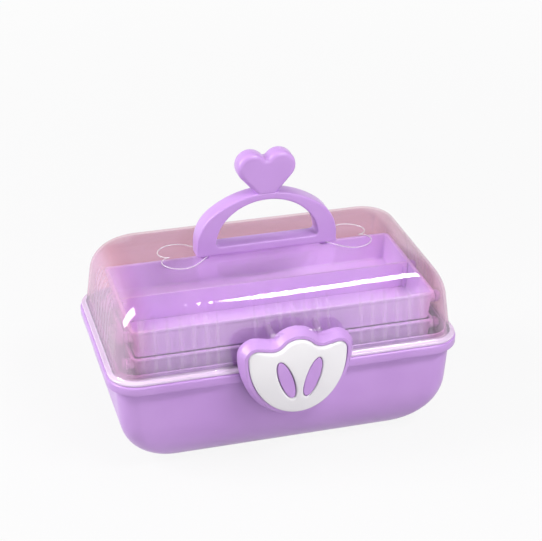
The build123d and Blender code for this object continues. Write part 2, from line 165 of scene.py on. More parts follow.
@dataclass(frozen=True)
class MouldedPlastic(Finish):
    """Opaque plastic from a polished tool: even colour, soft sheen and a faint ripple in the reflections.

    The colour clouds a little where the melt flowed. The ripple keeps broad highlights from looking ruled.
    """

    colour: str
    cloud: str
    roughness: float = 0.3
    scatter: float = 0.0
    edge_mm: float = 0.4
    edge_samples: int = 6
    cloud_mm: float = 45.0
    cloud_band: Pair = (0.35, 0.7)
    grain_mm: float = 0.8
    grain_spread: Pair = (-0.04, 0.06)
    ripple_mm: float = 6.0
    ripple_height_mm: float = 0.02
    ripple_strength: float = 0.25
    scatter_mm: float = 2.0
    scatter_reach: Triple = (1.0, 0.7, 1.0)
    refraction: float = 1.49

    def surface(self, node: Adder) -> Node:
        """Wires clouded colour, grainy sheen, rounded edges and ripple.

        Args:
            node: adds a node to the tree.

        Returns:
            The shader.
        """
        place = node("TexCoord").outputs["Object"]
        clouds, grain, ripple = (
            node("TexNoise", {"Scale": per_metre(size), "Detail": detail, "Vector": place})
            for size, detail in ((self.cloud_mm, 2.0), (self.grain_mm, 2.0), (self.ripple_mm, 1.0))
        )
        low, high = self.cloud_band
        share = node("MapRange", {"From Min": low, "From Max": high, "Value": clouds})
        tones = {"data_type": "RGBA", 0: share, 6: linear(self.colour), 7: linear(self.cloud)}
        colour = node("Mix", tones).outputs[2]
        low, high = (self.roughness + part for part in self.grain_spread)
        gloss = node("MapRange", {"To Min": low, "To Max": high, "Value": grain})
        edge = node("Bevel", {"samples": self.edge_samples, "Radius": self.edge_mm * MM})
        waves = {"Strength": self.ripple_strength, "Distance": self.ripple_height_mm * MM}
        plastic = {
            "Base Color": colour,
            "Roughness": gloss,
            "Normal": node("Bump", {**waves, "Height": ripple, "Normal": edge}),
            "IOR": self.refraction,
            "Subsurface Weight": self.scatter,
            "Subsurface Radius": self.scatter_reach,
            "Subsurface Scale": self.scatter_mm * MM,
        }
        return node("BsdfPrincipled", plastic)


@dataclass(frozen=True)
class ClearPlastic(Finish):
    """Clear styrene moulded thin: sharp reflections, hardly any colour at the front and a breath of haze.

    A painted pink, standing in for a pink surround seen through the clear wall, gathers towards the back wall
    and the ends. The ends look a little milky, and so does the flange at the foot, most of all. The left
    flank of each flute is milkier too, which paints bright streaks where refraction would throw them.
    """

    tint: str
    painted_backdrop: str
    haze: str
    haze_share: float
    roughness: float = 0.05
    painted_streak_haze: float = 0.0
    end_haze: float = 0.0
    foot_haze: float = 0.0
    # Where the painted pink of the surround, seen through the wall, takes over from the tint
    backdrop_back_mm: Pair = (38.0, 66.0)
    backdrop_ends_mm: Pair = (96.0, 126.0)
    backdrop_ends: float = 0.65
    milky_mm: Pair = (112.0, 124.0)
    foot_mm: Pair = (86.5, 84.6)
    # Reach and normal slopes of the flute flanks whose extra haze paints bright streaks
    fluted_mm: Pair = (112.0, 29.0)
    flank_slope: Pair = (-0.02, -0.22)
    wall_slope: Pair = (0.6, 0.9)
    breath_mm: float = 30.0
    breath_spread: Pair = (0.7, 1.3)
    ripple_mm: float = 9.0
    ripple_height_mm: float = 0.02
    ripple_strength: float = 0.3
    mirror: Pair = (0.07, 0.5)
    mirror_power: float = 5.0

    def haze_node(self, node: Adder, where: Sockets, spot: Sockets) -> Node:
        """Share of haze: a thin cloudy breath all over, more at the ends and on the flange, and more on flute
        flanks, where it paints bright streaks.

        Args:
            node: adds a node to the tree.
            where: place and normal on the piece.
            spot: x, y and z of that place.

        Returns:
            Node with the share of haze.
        """
        breath_scale = per_metre(self.breath_mm)
        clouds = node("TexNoise", {"Scale": breath_scale, "Detail": 2.0, "Vector": where["Object"]})
        low, high = (self.haze_share * part for part in self.breath_spread)
        breath = node("MapRange", {"To Min": low, "To Max": high, "Value": clouds})
        normal = node("SeparateXYZ", {"Vector": where["Normal"]}).outputs
        flanks = []
        # Painted streaks: flanks that look left on the front wall, and to the front on the ends, get more
        # haze
        for along, facing, reach_mm in zip("XY", "YX", self.fluted_mm):
            flank = node("MapRange", ramp(normal[along], self.flank_slope, unit=1))
            out = node("Math", {"operation": "ABSOLUTE", 0: normal[facing]})
            wall = node("MapRange", ramp(out, self.wall_slope, unit=1))
            far = node("Math", {"operation": "ABSOLUTE", 0: spot[along]})
            fluted = node("Math", {"operation": "LESS_THAN", 0: far, 1: reach_mm * MM})
            band = node("Math", {"operation": "MULTIPLY", 0: flank, 1: wall})
            flanks.append(node("Math", {"operation": "MULTIPLY", 0: band, 1: fluted}))
        flank = node("Math", {"operation": "MAXIMUM", **dict(enumerate(flanks))})
        fluted = node("Math", {"operation": "MULTIPLY_ADD", 0: flank, 1: self.painted_streak_haze, 2: breath})
        out = node("Math", {"operation": "ABSOLUTE", 0: spot["X"]})
        ends = node("MapRange", ramp(out, self.milky_mm, self.end_haze))
        walls = node("Math", {"operation": "ADD", 0: fluted, 1: ends})
        foot_ramp = ramp(spot["Z"], self.foot_mm, self.foot_haze)
        foot = node("MapRange", foot_ramp | {"interpolation_type": "LINEAR"})
        return node("Math", {"operation": "MAXIMUM", 0: walls, 1: foot})

    def surface(self, node: Adder) -> Node:
        """Wires the clear wall, its haze and the mirror that grows where the wall is seen at a slant.

        Args:
            node: adds a node to the tree.

        Returns:
            The shader.
        """
        where = node("TexCoord").outputs
        spot = node("SeparateXYZ", {"Vector": where["Object"]}).outputs
        noise = {"Scale": per_metre(self.ripple_mm), "Detail": 1.0, "Vector": where["Object"]}
        waves = {"Strength": self.ripple_strength, "Distance": self.ripple_height_mm * MM}
        bump = node("Bump", {**waves, "Height": node("TexNoise", noise)})
        slant = node("LayerWeight", {"Blend": 0.5, "Normal": bump}).outputs["Facing"]
        steep = node("Math", {"operation": "POWER", 0: slant, 1: self.mirror_power})
        least, more = self.mirror
        mirror = node("Math", {"operation": "MULTIPLY_ADD", 0: steep, 1: more, 2: least})
        # Painted pink of the surround seen through the wall, growing towards the back wall and the ends
        back = node("MapRange", ramp(spot["Y"], self.backdrop_back_mm))
        out = node("Math", {"operation": "ABSOLUTE", 0: spot["X"]})
        ends = node("MapRange", ramp(out, self.backdrop_ends_mm, self.backdrop_ends))
        share = node("Math", {"operation": "MAXIMUM", 0: back, 1: ends})
        tones = {"data_type": "RGBA", 0: share, 6: linear(self.tint), 7: linear(self.painted_backdrop)}
        clear = node("BsdfTransparent", {"Color": node("Mix", tones).outputs[2]})
        haze = node("BsdfDiffuse", {"Color": linear(self.haze), "Normal": bump})
        wall = node("MixShader", {0: self.haze_node(node, where, spot), 1: clear, 2: haze})
        gloss = node("BsdfGlossy", {"Roughness": self.roughness, "Normal": bump})
        return node("MixShader", {0: mirror, 1: wall, 2: gloss})


@dataclass(frozen=True)
class DrawnSteel(Finish):
    """Drawn steel wire cut to pins: grey metal with fine lines along it that stretch the highlight."""

    colour: str
    roughness: float = 0.32
    roughness_spread: float = 0.1
    line_mm: float = 0.3
    stretch: Triple = (0.05, 1.0, 1.0)

    def surface(self, node: Adder) -> Node:
        """Wires grey metal with a lined sheen.

        Args:
            node: adds a node to the tree.

        Returns:
            The shader.
        """
        place = node("TexCoord").outputs["Object"]
        drawn = node("Mapping", {"Scale": self.stretch, "Vector": place})
        lines = node("TexNoise", {"Scale": per_metre(self.line_mm), "Vector": drawn})
        low, high = (self.roughness + side * self.roughness_spread for side in SIDES)
        gloss = node("MapRange", {"To Min": low, "To Max": high, "Value": lines})
        metal = {"Base Color": linear(self.colour), "Metallic": 1.0, "Roughness": gloss}
        return node("BsdfPrincipled", metal)


@dataclass(frozen=True)
class FloorPaper(Finish):
    """Pale paper that keeps a faint shadow of the box and fades to plain white away from it, in metres."""

    colour: str
    white: float = 0.9
    fade: Pair = (0.4, 1.6)

    def surface(self, node: Adder) -> Node:
        """Wires the paper and the white that it fades to.

        Args:
            node: adds a node to the tree.

        Returns:
            The shader.
        """
        paper = node("BsdfDiffuse", {"Color": linear(self.colour)})
        glow = node("Emission", {"Color": linear(WHITE), "Strength": 1.0})
        place = node("TexCoord").outputs["Object"]
        away = node("VectorMath", {"operation": "LENGTH", 0: place}).outputs["Value"]
        near, far = self.fade
        white = node("MapRange", {"From Min": near, "From Max": far, "To Min": self.white, "Value": away})
        share = node("Math", {"operation": "MULTIPLY", 0: plain_rays(node), 1: white})
        return node("MixShader", {0: share, 1: paper, 2: glow})


class Finishes:
    """The materials of the box, each made once."""

    def __init__(self) -> None:
        """Makes every material."""
        # Polypropylene from a polished tool: lilac, softly glossy, slightly deeper where the melt is thick
        self.lilac = MouldedPlastic("lilac_polypropylene_moulded", "#c398d9", "#bc90d3").make()
        # The trays are the same plastic in a thinner wall, which lets a little light through; their colour is
        # also painted lighter to make up for the light that the clear lid and the wells keep from them
        thin = MouldedPlastic("lilac_polypropylene_thin_wall_painted_lighter", "#e8c4fa", "#e1baf5", scatter=0.35)
        self.brightened_tray_lilac = thin.make()
        # White ABS plate, polished, with a barely grey cloud
        polish = {"roughness": 0.22, "edge_mm": 0.2}
        self.white = MouldedPlastic("white_abs_polished", "#e6e4e6", "#dfdde0", **polish).make()
        # Clear polystyrene lid with painted pink of the surround towards its back and ends, milky at its foot
        # Extra haze on the left-looking flute flanks paints bright streaks where refraction would throw them
        hazes = {"haze_share": 0.06, "painted_streak_haze": 0.1, "end_haze": 0.22, "foot_haze": 0.75}
        backdrop_tinted = ClearPlastic("clear_polystyrene_painted_backdrop", "#fcfafc", "#f5d6de", "#f5dffc", **hazes)
        self.clear = backdrop_tinted.make()
        # The raised lines on the lid are frosted in the tool and read as thin white lines
        frost = {"haze_share": 0.28, "roughness": 0.15}
        self.frosted = ClearPlastic("clear_polystyrene_frosted", "#fcfafc", "#fcfafc", WHITE, **frost).make()
        # Hinge pins, dull grey where they show between the knuckles
        self.steel = DrawnSteel("drawn_steel_pin", "#b8b8bc").make()


@dataclass(frozen=True)
class RingPlan:
    """How many points a rounded rectangle has on each long side, each end and each corner."""

    along: int
    across: int
    turn: int


def arc(
    centre: Sequence[float], radius: Union[float, Sequence[float]], start: float, end: float, count: int
) -> Points:
    """Points of an arc between two angles, of a circle or, with two radii, of an ellipse."""
    turn = np.linspace(start, end, count)
    return np.asarray(centre) + np.asarray(radius) * np.c_[np.cos(turn), np.sin(turn)]


def circle(centre: Sequence[float], radius: Union[float, Sequence[float]], count: int) -> Points:
    """Points of a whole circle or ellipse."""
    return arc(centre, radius, 0, WHOLE, count + 1)[:-1]


def rounded_ring(
    half: Sequence[float], corner: float, level: float, plan: RingPlan, middle: Pair = (0, 0)
) -> Points:
    """Points of a level rounded rectangle, anticlockwise from above.

    Args:
        half: half length and half depth.
        corner: corner radius.
        level: height of the ring.
        plan: number of points on each stretch.
        middle: centre of the rectangle.

    Returns:
        An array of points, one row each.
    """
    half_x, half_y = half
    least = 0.01
    radius = max(min(corner, half_x - least, half_y - least), least)
    x, y = half_x - radius, half_y - radius
    front = np.linspace((-x, -half_y), (x, -half_y), plan.along, endpoint=False)
    front_turn = arc((x, -y), radius, -QUARTER, 0, plan.turn + 1)[:-1]
    right = np.linspace((half_x, -y), (half_x, y), plan.across, endpoint=False)
    back_turn = arc((x, y), radius, 0, QUARTER, plan.turn + 1)[:-1]
    front_half = np.vstack([front, front_turn, right, back_turn])
    return np.insert(np.vstack([front_half, -front_half]) + middle, 2, level, axis=1)


def quarter_turns(steps: int) -> Points:
    """Angles from level to upright, in equal steps."""
    return np.linspace(0, QUARTER, steps + 1)


def mirrored(right: Points) -> Points:
    """A right half outline and its mirror image, as one closed outline."""
    return np.vstack([right, right[::-1] * (-1, 1)])


def outward(loop: Points) -> Points:
    """Unit normals that point out of an anticlockwise closed outline, one per point."""
    normal = (np.roll(loop, -1, 0) - np.roll(loop, 1, 0))[:, ::-1] * (1, -1)
    return normal / np.maximum(np.linalg.norm(normal, axis=1, keepdims=True), TINY)


def even(loop: Points, spacing: float) -> Points:
    """Spreads points evenly along a closed outline.

    Args:
        loop: points of the outline.
        spacing: wanted distance between points.

    Returns:
        The outline with even spacing.
    """
    closed = np.vstack([loop, loop[:1]])
    way = np.r_[0, np.cumsum(np.linalg.norm(np.diff(closed, axis=0), axis=1))]
    fewest = 8
    stations = np.linspace(0, way[-1], max(fewest, round(way[-1] / spacing)), endpoint=False)
    return np.c_[tuple(np.interp(stations, way, along) for along in closed.T)]


def way_to(points: Points, loops: Sequence[Points]) -> Points:
    """Distance from each point to the nearest outline.

    Args:
        points: one row per point.
        loops: closed outlines.

    Returns:
        One distance per point.
    """
    best = np.full(len(points), np.inf)
    for loop in loops:
        for a, b in zip(loop, np.roll(loop, -1, 0)):
            run = b - a
            share = np.clip(((points - a) @ run) / max(run @ run, TINY), 0, 1)
            best = np.minimum(best, np.linalg.norm(points - a - share[:, None] * run, axis=1))
    return best


def inside(points: Points, loop: Points) -> Points:
    """Tells which points lie inside a closed outline.

    Args:
        points: one row per point.
        loop: points of the outline.

    Returns:
        True or false per point.
    """
    found = np.zeros(len(points), bool)
    x, z = points[:, 0], points[:, 1]
    for (ax, az), (bx, bz) in zip(loop, np.roll(loop, -1, 0)):
        if az != bz:
            found ^= ((az > z) != (bz > z)) & (x < (bx - ax) * (z - az) / (bz - az) + ax)
    return found


def rounded_edge(way: Points, radius: float) -> Points:
    """How far a rounded edge stands back from its flat, at a way in from the outline."""
    step = np.clip(radius - way, 0, radius)
    return radius - np.sqrt(radius**2 - step**2)


@dataclass
class Shape:
    """Vertices and faces of one piece, gathered from lofts, prisms and pillows."""

    points: list[Points] = field(default_factory=list)
    faces: list[list[int]] = field(default_factory=list)
    count: int = 0
    rod_points: int = 32
    spacing: float = 1.6
    edge_turns: tuple[float, ...] = (28, 48, 68, 90)
    row_share: float = 0.97
    merge: float = 1e-5

    def add(self, points: Points, faces: Sequence[Sequence[int]]) -> None:
        """Adds points and the faces that join them.

        Args:
            points: one row per point.
            faces: point numbers of each face, counted from these points.
        """
        self.points.append(np.asarray(points, float))
        self.faces += [[i + self.count for i in face] for face in faces]
        self.count += len(points)

    def loft(self, rings: Sequence[Points], closed: bool = False) -> None:
        """Adds a skin through rings of equal length.

        Args:
            rings: the rings, in the order that the skin runs.
            closed: whether the last ring joins the first. If not, both get a flat cap.
        """
        size, count = len(rings[0]), len(rings)
        following = [*range(1, size), 0]
        faces: list[list[int]] = []
        for i in range(count if closed else count - 1):
            low, high = i * size, (i + 1) % count * size
            faces += [[low + j, low + k, high + k, high + j] for j, k in enumerate(following)]
        if not closed:
            faces += [list(range(size))[::-1], list(range((count - 1) * size, count * size))]
        self.add(np.vstack(rings), faces)

    def prism(self, outline: Points, start: float, end: float, soft: float = 0.3) -> None:
        """Adds an outline in the YZ plane drawn out along X, with softened ends.

        Args:
            outline: corner points, anticlockwise seen from +X.
            start: one station along X.
            end: the other station.
            soft: size of the softened edge.
        """
        low, high = sorted((start, end))
        stations = ((low, soft), (low + soft, 0), (high - soft, 0), (high, soft))
        normal = outward(outline)
        self.loft([np.insert(outline - normal * inset, 0, x, axis=1) for x, inset in stations])

    def rod(self, radius: float, start: float, end: float, centre: Pair, soft: float = 0.4) -> None:
        """Adds a round boss along X between two stations, with softened ends."""
        self.prism(circle(centre, radius, self.rod_points), start, end, soft)

    def pillow(
        self,
        outer: Points,
        holes: Sequence[Points],
        front: Depth,
        back: Depth,
        edge: float,
        creases: Sequence[Points] = (),
    ) -> None:
        """Adds a solid drawn in the XZ plane, whose front and back curve with the way in from its outline.

        Args:
            outer: outline, anticlockwise seen from the front.
            holes: outlines of through holes.
            front: gives y of the front face from points and their way in from the outline.
            back: gives y of the back face likewise.
            edge: width of the rounded edge, which gets extra rows of points.
            creases: further outlines that the faces keep to.
        """
        rims = [outer, *holes]

        def solid(points: Points) -> Points:
            """True for points in the outline and out of its holes."""
            return inside(points, outer) & ~np.any([inside(points, hole) for hole in holes], axis=0)

        loose = []
        for rim in rims:
            normal = outward(rim)
            for row in (edge * (1 - cos(radians(turn))) for turn in self.edge_turns):
                for way in SIDES:
                    drawn = rim + way * normal * row
                    loose.append(drawn[solid(drawn) & (way_to(drawn, rims) > self.row_share * row)])
        low, high, spacing = outer.min(0), outer.max(0), self.spacing
        pitch = spacing * sqrt(3) / 2
        grid = np.array(
            [
                (x + (i % 2) * spacing / 2, low[1] + i * pitch)
                for i in range(int((high[1] - low[1]) / pitch) + 1)
                for x in np.arange(low[0], high[0], spacing)
            ]
        )
        grid = grid[solid(grid)]
        loose.append(grid[way_to(grid, rims) > edge + spacing / 2])
        free = np.vstack(loose)
        if len(creases):
            free = free[way_to(free, creases) > spacing / 4]
        fixed = [*rims, *creases]
        links, start = [], 0
        for loop in fixed:
            links += [(start + i, start + (i + 1) % len(loop)) for i in range(len(loop))]
            start += len(loop)
        seeds = [Vector(p) for p in np.vstack([*fixed, free])]
        flat, _, triangles, _, _, _ = delaunay_2d_cdt(seeds, links, [], 0, self.merge)
        spots = np.array([tuple(p) for p in flat])
        corners = np.array(triangles)
        corners = corners[solid(spots[corners].mean(1))]
        way, total = way_to(spots, rims), len(spots)
        skins = [np.insert(spots, 1, depth(spots, way), axis=1) for depth in (front, back)]
        faces = [list(t) for t in corners] + [[i + total for i in t[::-1]] for t in corners]
        border = {(int(a), int(b)) for t in corners for a, b in zip(t, np.roll(t, -1))}
        faces += [[b, a, a + total, b + total] for a, b in sorted(border) if (b, a) not in border]
        self.add(np.vstack(skins), faces)

    def make(
        self, name: str, material: bpy.types.Material, body: Body, slot: Slot, sharp: float = 38.0
    ) -> bpy.types.Object:
        """Makes the Blender piece and lets it ride its body.

        Args:
            name: name of the piece.
            material: its finish.
            body: CAD body that carries it.
            slot: record slot that the finish belongs to; not used.
            sharp: edges that turn by more than this many degrees stay crisp.

        Returns:
            The new object.
        """
        mesh = bpy.data.meshes.new(name)
        mesh.from_pydata((np.vstack(self.points) * MM).tolist(), [], self.faces)
        mesh.polygons.foreach_set("use_smooth", [True] * len(mesh.polygons))
        mesh.set_sharp_from_angle(angle=radians(sharp))
        mesh.materials.append(material)
        piece = bpy.data.objects.new(name, mesh)
        bpy.context.scene.collection.objects.link(piece)
        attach(piece, body.value)
        LOG.info("%s: %d faces on %s", name, len(mesh.polygons), body.value)
        return piece


@dataclass
class BentShell:
    """Hinged box with drafted walls that bend in at one end: the tub's foot, the lid's shoulder."""

    finishes: Finishes
    half: Pair
    draft: Pair
    bend: Pair
    bend_height: float
    bend_steps: int
    corner: float
    wall: float
    plan: RingPlan
    eye_degrees: Pair
    eye_points: int = 28
    hinge: Pair = (83.0, 82.0)
    knuckle_radius: float = 4.0
    knuckle_gap: float = 0.3

    def ring(self, inset: float, turn: float, rise: float, level: float) -> Points:
        """One ring of the outer face, or of a face inside it.

        Args:
            inset: how far the face lies inside the outer one.
            turn: angle in the bend, upright on the wall.
            rise: share of the height, from the bent end.
            level: height of the ring.

        Returns:
            Points of the ring.
        """
        x, y = (
            half - inset - (bend - inset) * (1 - sin(turn)) - draft * (1 - rise)
            for half, bend, draft in zip(self.half, self.bend, self.draft)
        )
        return rounded_ring((x, y), self.corner - inset, level, self.plan)

    def bend_levels(self, height: float) -> list[Pair]:
        """Heights and angles through the bend, from its flat to its wall."""
        return [(height * (1 - cos(turn)), turn) for turn in quarter_turns(self.bend_steps)]

    def knuckle(self, root: Sequence[Pair]) -> Points:
        """Outline of a hinge knuckle: its eye and the root that carries it."""
        start, end = map(radians, self.eye_degrees)
        return np.vstack([arc(self.hinge, self.knuckle_radius, start, end, self.eye_points), root])


@dataclass
class Tub(BentShell):
    """Lilac tub with a curved foot, an overhanging rim and the lip that locates the lid."""

    half: Pair = (129.7, 72.7)
    draft: Pair = (5.5, 1.5)
    bend: Pair = (44.5, 33.0)
    bend_height: float = 46.0
    bend_steps: int = 16
    corner: float = 15.5
    wall: float = 2.2
    plan: RingPlan = RingPlan(48, 28, 12)
    eye_degrees: Pair = (-90.0, 184.0)
    floor: float = 2.6
    rim_half: Pair = (135.0, 78.0)
    rim_top: float = 82.0
    rim_band: float = 7.0
    rim_skin: float = 2.2
    rim_corner: float = 24.0
    rim_round: float = 1.5
    rim_steps: int = 5
    rim_foot: Pair = (0.6, 0.18)
    edge: float = 0.5
    lip_set_in: float = 7.72
    lip_height: float = 6.0
    lip_wall: float = 1.5
    lip_root: float = 0.3
    knuckles: tuple[Pair, ...] = ((-86.4, -78.4), (-61.6, -53.6), (53.6, 61.6), (78.4, 86.4))
    web_reach: float = 5.0
    web_drop: float = 4.3
    boss_radius: float = 4.2
    boss_run: Pair = (120.5, 127.4)
    bosses: tuple[Pair, ...] = ((-12.5, 65.6), (39.5, 65.6))

    def bowl(self, inset: float, base: float) -> list[Points]:
        """Rings of the curved foot and the drafted wall.

        Args:
            inset: how far the skin lies inside the outer face.
            base: level of the flat floor.

        Returns:
            Rings from the floor up to just under the rim.
        """
        top = self.rim_top - base
        levels = [*self.bend_levels(self.bend_height - base), (top - self.rim_skin, QUARTER)]
        return [self.ring(inset, turn, level / top, base + level) for level, turn in levels]

    def rim(self) -> list[Points]:
        """Rings from the underside of the rim, round its edge and over the lip.

        Returns:
            Rings in the order that the skin runs.
        """
        top, skin, soft, edge = self.rim_top, self.rim_skin, self.rim_round, self.edge
        under, foot = top - skin, top - self.rim_band
        far, near = self.rim_foot
        steps = [(skin, under), (skin, foot + edge), (skin - edge, foot)]
        steps += [(far, foot), (near, foot + near), (0.0, foot + far)]
        turns = quarter_turns(self.rim_steps)
        steps += [(soft * (1 - cos(t)), top - soft * (1 - sin(t))) for t in turns]
        rings = [self.drawn_in(inset, self.rim_corner - inset, level) for inset, level in steps]
        lip, root, lip_top = self.lip_set_in, self.lip_root, top + self.lip_height
        inner = lip + self.lip_wall
        ahead = [(lip - root, top), (lip, top + root), (lip, lip_top - edge), (lip + edge, lip_top)]
        behind = [(inner - edge, lip_top), (inner, lip_top - edge), (inner, under)]
        rings += [self.drawn_in(inset, self.corner, level) for inset, level in ahead]
        rings += [self.drawn_in(inset, self.corner - self.lip_wall, level) for inset, level in behind]
        return rings

    def drawn_in(self, inset: float, corner: float, level: float) -> Points:
        """One ring at an inset from the rim's outer face."""
        return rounded_ring(np.subtract(self.rim_half, inset), corner, level, self.plan)

    def build(self) -> None:
        """Builds the tub with its hinge knuckles and pivot bosses, in place of the CAD tub."""
        shape = Shape()
        shape.loft([*self.bowl(0, 0), *self.rim(), *self.bowl(self.wall, self.floor)[::-1]])
        y, z = self.hinge
        root, low = y - self.web_reach - self.rim_skin, z - self.web_drop
        web = self.knuckle([(root, z - self.knuckle_gap), (root, low), (y, low)])
        for start, end in self.knuckles:
            shape.prism(web, start, end)
        face, wall = self.boss_run
        for side in SIDES:
            for centre in self.bosses:
                shape.rod(self.boss_radius, side * face, side * wall, centre)
        piece = shape.make("tub_shell", self.finishes.lilac, Body.BASE, Slot.LILAC)
        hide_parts("tub")


@dataclass
class Lid(BentShell):
    """Clear domed lid with upright flutes, a flange, clasp ears, knuckles and hearts on its crown."""

    half: Pair = (130.2, 73.2)
    draft: Pair = (7.4, 6.1)
    bend: Pair = (25.7, 23.9)
    bend_height: float = 29.4
    bend_steps: int = 20
    corner: float = 18.0
    wall: float = 1.8
    plan: RingPlan = RingPlan(216, 112, 16)
    eye_degrees: Pair = (-184.0, 38.0)
    foot: float = 82.0
    height: float = 62.0
    wall_steps: int = 15
    sharp: float = 60.0
    flange: float = 2.5
    flange_reach: float = 3.6
    flange_edge: float = 0.5
    flange_round: Pair = (0.8, 0.25)
    flange_root: tuple[Pair, ...] = ((0.9, 0.0), (0.2, 0.25))
    root_height: float = 0.6
    flute_pitch: float = 9.6
    flute_count: int = 6
    flute_depth: float = 0.8
    flute_middles: tuple[float, ...] = (-83.5, 0.0, 80.5)
    flute_levels: tuple[float, ...] = (85.5, 89.0, 122.0, 138.0)
    flute_facing: float = 0.9
    hinge_places: Pair = (-70.0, 70.0)
    knuckle_length: float = 16.0
    knuckle_root: float = 9.6
    ear_pivot: Pair = (-84.0, 114.2)
    ear_radius: float = 2.6
    ear_root: float = 2.6
    ear_thickness: float = 3.0
    ear_spacing: float = 34.8
    ear_points: int = 20
    heart_reach: Pair = (37.0, 81.3)
    heart_span: float = 41.5
    heart_y: float = -1.0
    heart_line: float = 0.45
    heart_waves: tuple[float, ...] = (13.0, -3.5, -1.5, -1.0)
    heart_points: int = 120
    ridge_points: int = 10

    def dome(self, inset: float) -> list[Points]:
        """Rings of the dome from its foot to the flat of its crown.

        Args:
            inset: how far the skin lies inside the outer face.

        Returns:
            Rings, lowest first.
        """
        bend, height, top = self.bend_height - inset, self.height - inset, self.foot + self.height - inset
        levels = self.bend_levels(bend)
        levels += [(level, QUARTER) for level in np.linspace(bend, height, self.wall_steps)[1:]]
        return [self.ring(inset, turn, level / height, top - level) for level, turn in levels[::-1]]

    def fluted(self, ring: Points) -> Points:
        """Draws a ring of the outer face in between its flutes.

        Args:
            ring: points of one level.

        Returns:
            The ring with the flutes of that level.
        """
        low, full_low, full_high, high = self.flute_levels
        level = ring[0, 2]
        fade = np.clip(min((level - low) / (full_low - low), (high - level) / (high - full_high)), 0, 1)
        normal = outward(ring[:, :2])
        reach = self.flute_count * self.flute_pitch / 2
        depth = np.zeros(len(ring))
        front, ends = -normal[:, 1], np.abs(normal[:, 0])
        for middles, axis, facing in ((self.flute_middles, 0, front), ((0.0,), 1, ends)):
            for middle in middles:
                along = ring[:, axis] - middle
                here = (np.abs(along) < reach) & (facing > self.flute_facing)
                depth = np.where(here, 1 - np.abs(np.sin(pi * along / self.flute_pitch)), depth)
        moved = ring.copy()
        moved[:, :2] -= normal * (depth * fade * self.flute_depth)[:, None]
        return moved

    def add_shell(self, shape: Shape) -> None:
        """Adds the wall: inside of the dome, underside, flange and fluted outside.

        Args:
            shape: takes the faces.
        """
        foot, top, reach, edge = self.foot, self.foot + self.flange, self.flange_reach, self.flange_edge
        far, near = self.flange_round
        steps = [(0.0, foot), (reach - edge, foot), (reach, foot + edge)]
        steps += [(reach, top - far), (reach - near, top - near), (reach - far, top)]
        steps += [(out, top + up) for out, up in self.flange_root]
        half, corner, plan = self.half, self.corner, self.plan
        flange = [rounded_ring(np.add(half, out), corner + out, level, plan) for out, level in steps]
        outer = [self.fluted(ring) for ring in self.dome(0) if ring[0, 2] > top + self.root_height]
        shape.loft([*self.dome(self.wall)[::-1], *flange, *outer])

    def add_fittings(self, shape: Shape) -> None:
        """Adds the clasp ears and the hinge knuckles.

        Args:
            shape: takes the faces.
        """
        z, radius, root = self.ear_pivot[1], self.ear_radius, self.ear_root - self.half[1]
        eye = arc(self.ear_pivot, radius, QUARTER, 3 * QUARTER, self.ear_points)
        ear = np.vstack([eye, [(root, z - radius), (root, z + radius)]])
        y, z = self.hinge
        root = y - self.knuckle_root
        knuckle = self.knuckle([(root, z + self.flange), (root, z + self.knuckle_gap)])
        ears = [side * self.ear_spacing / 2 for side in SIDES]
        for outline, places, length in (
            (ear, ears, self.ear_thickness),
            (knuckle, self.hinge_places, self.knuckle_length),
        ):
            for place in places:
                shape.prism(outline, place - length / 2, place + length / 2)

    def heart(self, side: int) -> list[Points]:
        """Outline of one raised heart, a low rounded ridge whose tip runs in under the handle.

        Args:
            side: -1 for the left heart and 1 for the right one.

        Returns:
            Rings round the ridge, which close on themselves.
        """
        turn = np.linspace(0, WHOLE, self.heart_points, endpoint=False)
        along = sum(size * np.cos(times * turn) for times, size in enumerate(self.heart_waves, 1))
        along = (along - along.min()) / (along.max() - along.min())
        near, far = self.heart_reach
        across = np.sin(turn) ** 3 * self.heart_span / 2 + self.heart_y
        line = np.c_[side * (near + along * (far - near)), across]
        normal = outward(line)
        ridge = circle((0, self.foot + self.height), self.heart_line, self.ridge_points)
        return [np.insert(line + normal * over, 2, z, axis=1) for over, z in ridge[::side]]

    def build(self) -> None:
        """Builds the lid and its hearts, in place of the CAD lid."""
        shape, hearts = Shape(), Shape()
        self.add_shell(shape)
        self.add_fittings(shape)
        piece = shape.make("lid_shell", self.finishes.clear, Body.LID, Slot.CLEAR, self.sharp)
        for side in SIDES:
            hearts.loft(self.heart(side), closed=True)
        hearts.make("lid_heart_ridges", self.finishes.frosted, Body.LID, Slot.CLEAR, self.sharp)
        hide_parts("lid")


